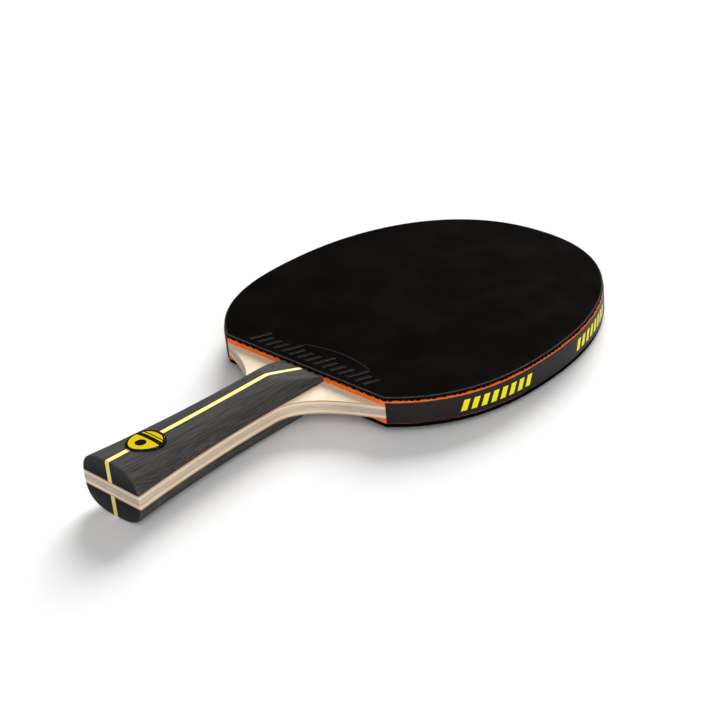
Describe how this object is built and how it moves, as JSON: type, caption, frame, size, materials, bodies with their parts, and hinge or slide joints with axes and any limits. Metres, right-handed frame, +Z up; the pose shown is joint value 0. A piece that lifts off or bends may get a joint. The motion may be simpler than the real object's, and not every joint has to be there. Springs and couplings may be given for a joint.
{
  "type": "table tennis paddle",
  "caption": "Table tennis paddle with a flared handle: a plywood blade with sponge and smooth rubber on both faces, edge tape, striped handle scales and a domed badge.",
  "frame": {"origin": "under the middle of the paddle's length and width, at the height of the back scale's lowest point, with the blade level", "axes": "+X across the blade, +Y along it from the butt of the handle to the tip of the head, +Z up out of the front face, which wears the badge"},
  "size_m": [0.1508, 0.2564, 0.0258],
  "materials": {
    "pale_wood": "bare, sanded",
    "veneer_wood": "bare, sanded",
    "stained_wood": "stained charcoal, satin",
    "yellow_veneer": "dyed pale yellow, satin",
    "orange_sponge": "matte, finely porous",
    "black_rubber": "satin, tacky",
    "tape_vinyl": "matte, with printed yellow bars",
    "badge_print": "printed yellow with a black rim",
    "clear_resin": "clear, glossy dome"
  },
  "bodies": {
    "root": {"core_ply": "pale_wood", "front_inner_ply": "pale_wood", "back_inner_ply": "pale_wood", "front_outer_ply": "veneer_wood", "back_outer_ply": "veneer_wood", "front_left_scale": "stained_wood", "front_right_scale": "stained_wood", "front_stripe": "yellow_veneer", "back_left_scale": "stained_wood", "back_right_scale": "stained_wood", "back_stripe": "yellow_veneer", "front_sponge": "orange_sponge", "back_sponge": "orange_sponge", "front_topsheet": "black_rubber", "back_topsheet": "black_rubber", "edge_tape": "tape_vinyl", "badge_plate": "badge_print", "badge_dome": "clear_resin"}
  },
  "joints": []
}
